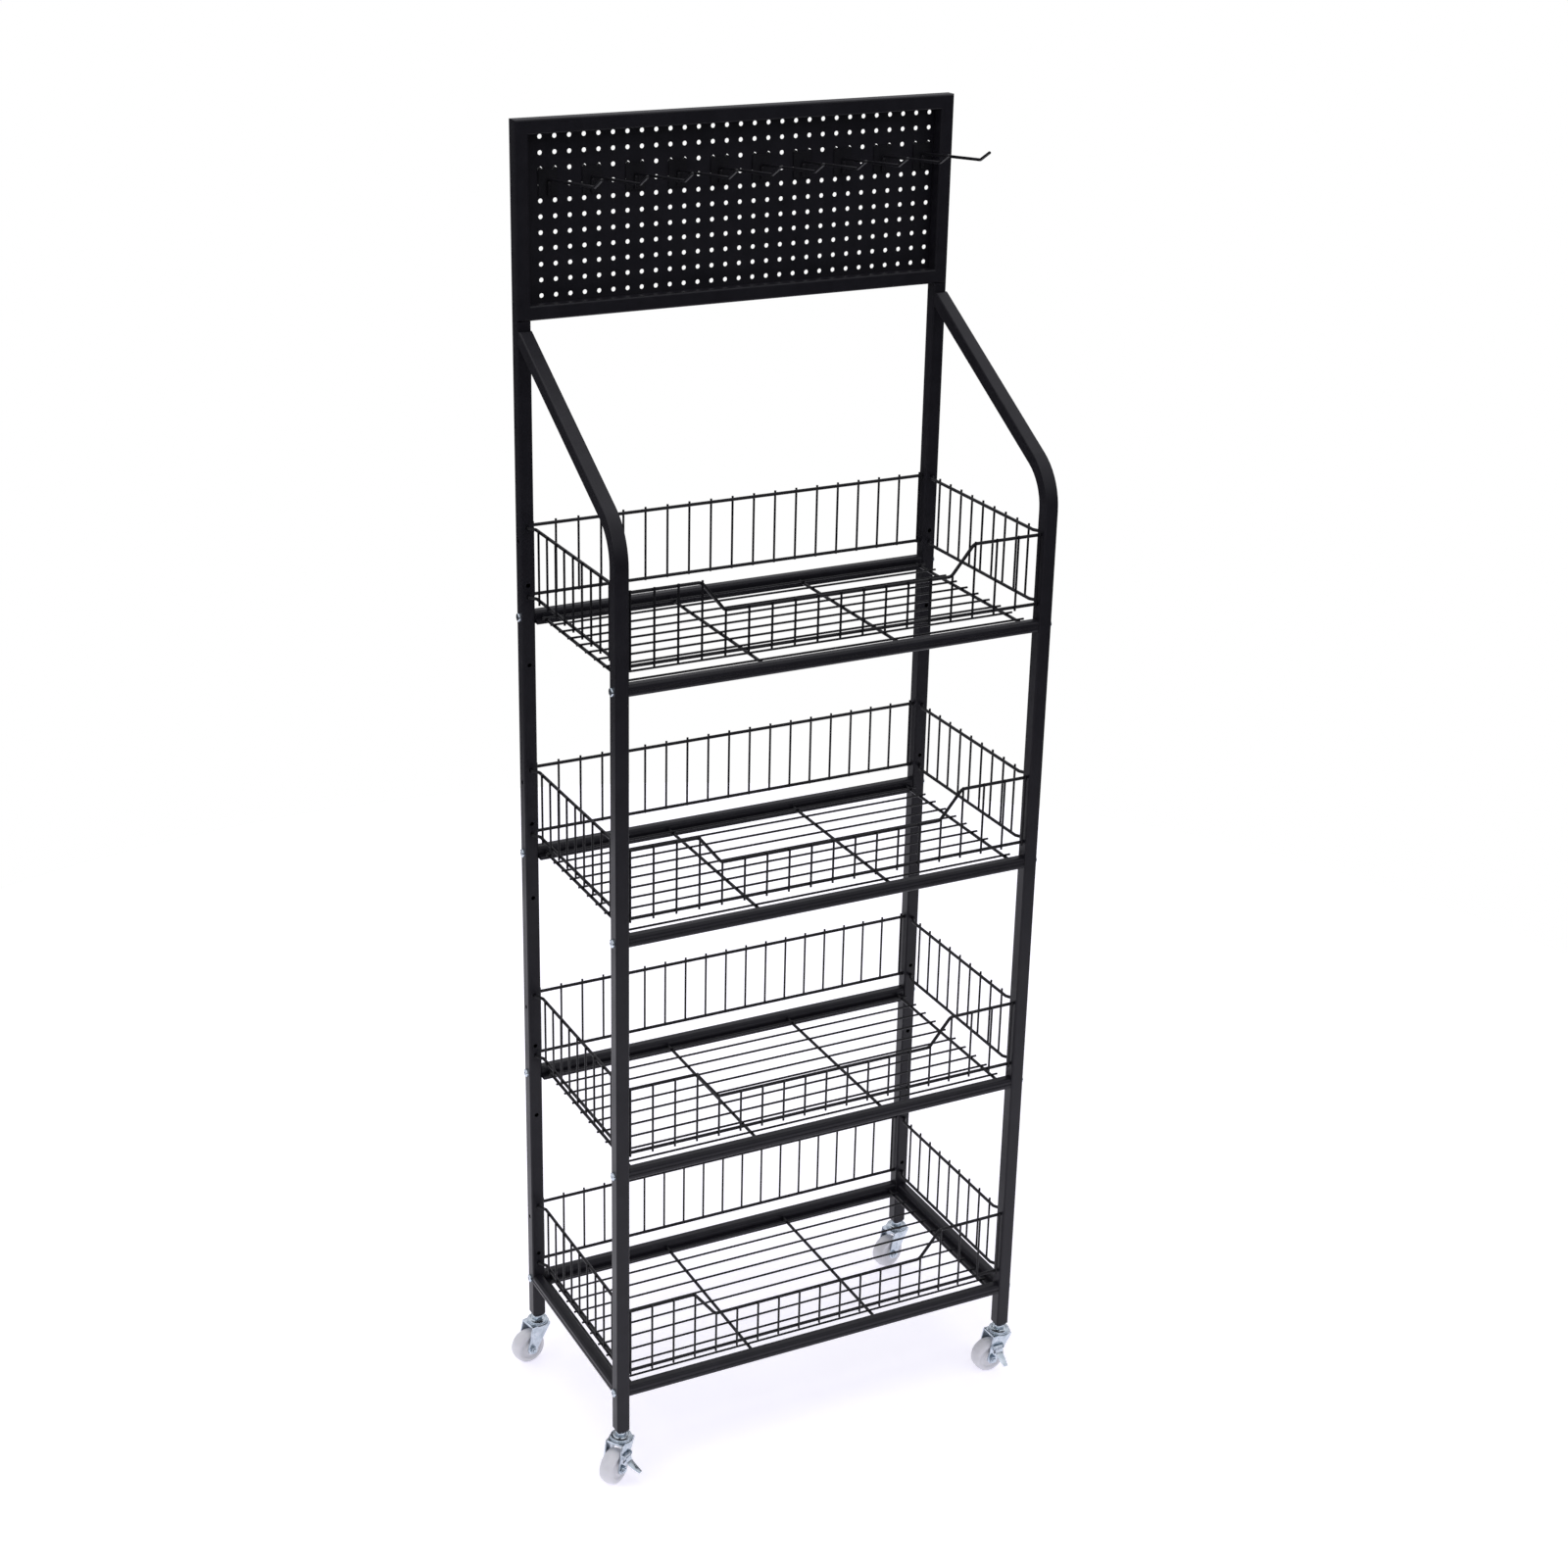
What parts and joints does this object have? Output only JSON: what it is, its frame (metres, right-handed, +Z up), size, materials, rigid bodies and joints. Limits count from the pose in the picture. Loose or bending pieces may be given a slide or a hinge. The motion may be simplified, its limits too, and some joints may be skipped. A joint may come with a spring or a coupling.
{
  "type": "pegboard display stand",
  "caption": "Free-standing retail display stand on casters: wire baskets between bent square-tube posts, under a framed pegboard header with forward display hooks.",
  "frame": {"origin": "middle of the bottom of the whole stand's box, on the floor under the wheels", "axes": "+Z up; +Y from the open front to the rear posts and the pegboard; +X to the right of a customer facing the stand"},
  "size_m": [0.6684, 0.365, 1.812],
  "materials": {
    "frame_black": "satin black powder coat",
    "wire_black": "satin black powder coat on drawn wire",
    "hook_black": "satin black powder coat on hook wire and plate",
    "zinc": "bright zinc plate",
    "nylon": "milky moulded nylon",
    "bearing_steel": "polished steel balls"
  },
  "bodies": {
    "frame": {"left_front_post": "frame_black", "left_rear_post": "frame_black", "left_bottom_rail": "frame_black", "right_front_post": "frame_black", "right_rear_post": "frame_black", "right_bottom_rail": "frame_black", "header_frame": "frame_black", "pegboard_sheet": "frame_black", "front_rail_1": "frame_black", "rear_rail_1": "frame_black", "shelf_floor_1": "wire_black", "back_panel_1": "wire_black", "front_panel_1": "wire_black", "side_panels_1": "wire_black", "front_rail_2": "frame_black", "rear_rail_2": "frame_black", "shelf_floor_2": "wire_black", "back_panel_2": "wire_black", "front_panel_2": "wire_black", "side_panels_2": "wire_black", "front_rail_3": "frame_black", "rear_rail_3": "frame_black", "shelf_floor_3": "wire_black", "back_panel_3": "wire_black", "front_panel_3": "wire_black", "side_panels_3": "wire_black", "front_rail_4": "frame_black", "rear_rail_4": "frame_black", "shelf_floor_4": "wire_black", "back_panel_4": "wire_black", "front_panel_4": "wire_black", "side_panels_4": "wire_black", "rail_bolts": "zinc", "caster_sockets": "frame_black", "caster_stems": "zinc", "swivel_balls": "bearing_steel"},
    "hook_1": {"hook_1": "hook_black"},
    "hook_2": {"hook_2": "hook_black"},
    "hook_3": {"hook_3": "hook_black"},
    "hook_4": {"hook_4": "hook_black"},
    "hook_5": {"hook_5": "hook_black"},
    "hook_6": {"hook_6": "hook_black"},
    "hook_7": {"hook_7": "hook_black"},
    "hook_8": {"hook_8": "hook_black"},
    "hook_9": {"hook_9": "hook_black"},
    "hook_10": {"hook_10": "hook_black"},
    "front_left_caster": {"front_left_fork": "zinc", "front_left_axle": "zinc"},
    "front_left_wheel": {"front_left_wheel": "nylon"},
    "front_left_brake": {"front_left_brake_lever": "zinc"},
    "front_right_caster": {"front_right_fork": "zinc", "front_right_axle": "zinc"},
    "front_right_wheel": {"front_right_wheel": "nylon"},
    "front_right_brake": {"front_right_brake_lever": "zinc"},
    "rear_left_caster": {"rear_left_fork": "zinc", "rear_left_axle": "zinc"},
    "rear_left_wheel": {"rear_left_wheel": "nylon"},
    "rear_right_caster": {"rear_right_fork": "zinc", "rear_right_axle": "zinc"},
    "rear_right_wheel": {"rear_right_wheel": "nylon"}
  },
  "joints": [
    {"name": "front_left_swivel", "type": "hinge", "parent": "frame", "child": "front_left_caster", "pos_m": [-0.2918, -0.14045, 0.0615], "axis": [0, 0, 1], "continuous": true},
    {"name": "front_left_roll", "type": "hinge", "parent": "front_left_caster", "child": "front_left_wheel", "pos_m": [-0.30689, -0.15025, 0.025], "axis": [0.5446, -0.8387, 0], "continuous": true},
    {"name": "front_left_brake_tip", "type": "hinge", "parent": "front_left_caster", "child": "front_left_brake", "pos_m": [-0.29198, -0.16037, 0.045], "axis": [-0.8387, -0.5446, 0], "range_deg": [0, 25]},
    {"name": "front_right_swivel", "type": "hinge", "parent": "frame", "child": "front_right_caster", "pos_m": [0.3172, -0.14045, 0.0615], "axis": [0, 0, 1], "continuous": true},
    {"name": "front_right_roll", "type": "hinge", "parent": "front_right_caster", "child": "front_right_wheel", "pos_m": [0.29921, -0.14108, 0.025], "axis": [0.0349, -0.9994, 0], "continuous": true},
    {"name": "front_right_brake_tip", "type": "hinge", "parent": "front_right_caster", "child": "front_right_brake", "pos_m": [0.30679, -0.15743, 0.045], "axis": [-0.9994, -0.0349, 0], "range_deg": [0, 25]},
    {"name": "rear_left_swivel", "type": "hinge", "parent": "frame", "child": "rear_left_caster", "pos_m": [-0.2918, 0.16555, 0.0615], "axis": [0, 0, 1], "continuous": true},
    {"name": "rear_left_roll", "type": "hinge", "parent": "rear_left_caster", "child": "rear_left_wheel", "pos_m": [-0.3094, 0.16181, 0.025], "axis": [0.2079, -0.9781, 0], "continuous": true},
    {"name": "rear_right_swivel", "type": "hinge", "parent": "frame", "child": "rear_right_caster", "pos_m": [0.3172, 0.16555, 0.0615], "axis": [0, 0, 1], "continuous": true},
    {"name": "rear_right_roll", "type": "hinge", "parent": "rear_right_caster", "child": "rear_right_wheel", "pos_m": [0.29982, 0.16089, 0.025], "axis": [0.2588, -0.9659, 0], "continuous": true},
    {"name": "hook_1_tilt", "type": "hinge", "parent": "frame", "child": "hook_1", "pos_m": [-0.2498, 0.17555, 1.7473], "axis": [-1, 0, 0], "range_deg": [0, 40]},
    {"name": "hook_2_tilt", "type": "hinge", "parent": "frame", "child": "hook_2", "pos_m": [-0.1898, 0.17555, 1.7473], "axis": [-1, 0, 0], "range_deg": [0, 40]},
    {"name": "hook_3_tilt", "type": "hinge", "parent": "frame", "child": "hook_3", "pos_m": [-0.1298, 0.17555, 1.7473], "axis": [-1, 0, 0], "range_deg": [0, 40]},
    {"name": "hook_4_tilt", "type": "hinge", "parent": "frame", "child": "hook_4", "pos_m": [-0.0698, 0.17555, 1.7473], "axis": [-1, 0, 0], "range_deg": [0, 40]},
    {"name": "hook_5_tilt", "type": "hinge", "parent": "frame", "child": "hook_5", "pos_m": [-0.0098, 0.17555, 1.7473], "axis": [-1, 0, 0], "range_deg": [0, 40]},
    {"name": "hook_6_tilt", "type": "hinge", "parent": "frame", "child": "hook_6", "pos_m": [0.0502, 0.17555, 1.7473], "axis": [-1, 0, 0], "range_deg": [0, 40]},
    {"name": "hook_7_tilt", "type": "hinge", "parent": "frame", "child": "hook_7", "pos_m": [0.1102, 0.17555, 1.7473], "axis": [-1, 0, 0], "range_deg": [0, 40]},
    {"name": "hook_8_tilt", "type": "hinge", "parent": "frame", "child": "hook_8", "pos_m": [0.1702, 0.17555, 1.7473], "axis": [-1, 0, 0], "range_deg": [0, 40]},
    {"name": "hook_9_tilt", "type": "hinge", "parent": "frame", "child": "hook_9", "pos_m": [0.2302, 0.17555, 1.7473], "axis": [-1, 0, 0], "range_deg": [0, 40]},
    {"name": "hook_10_tilt", "type": "hinge", "parent": "frame", "child": "hook_10", "pos_m": [0.2902, 0.17555, 1.7473], "axis": [-1, 0, 0], "range_deg": [0, 40]}
  ]
}
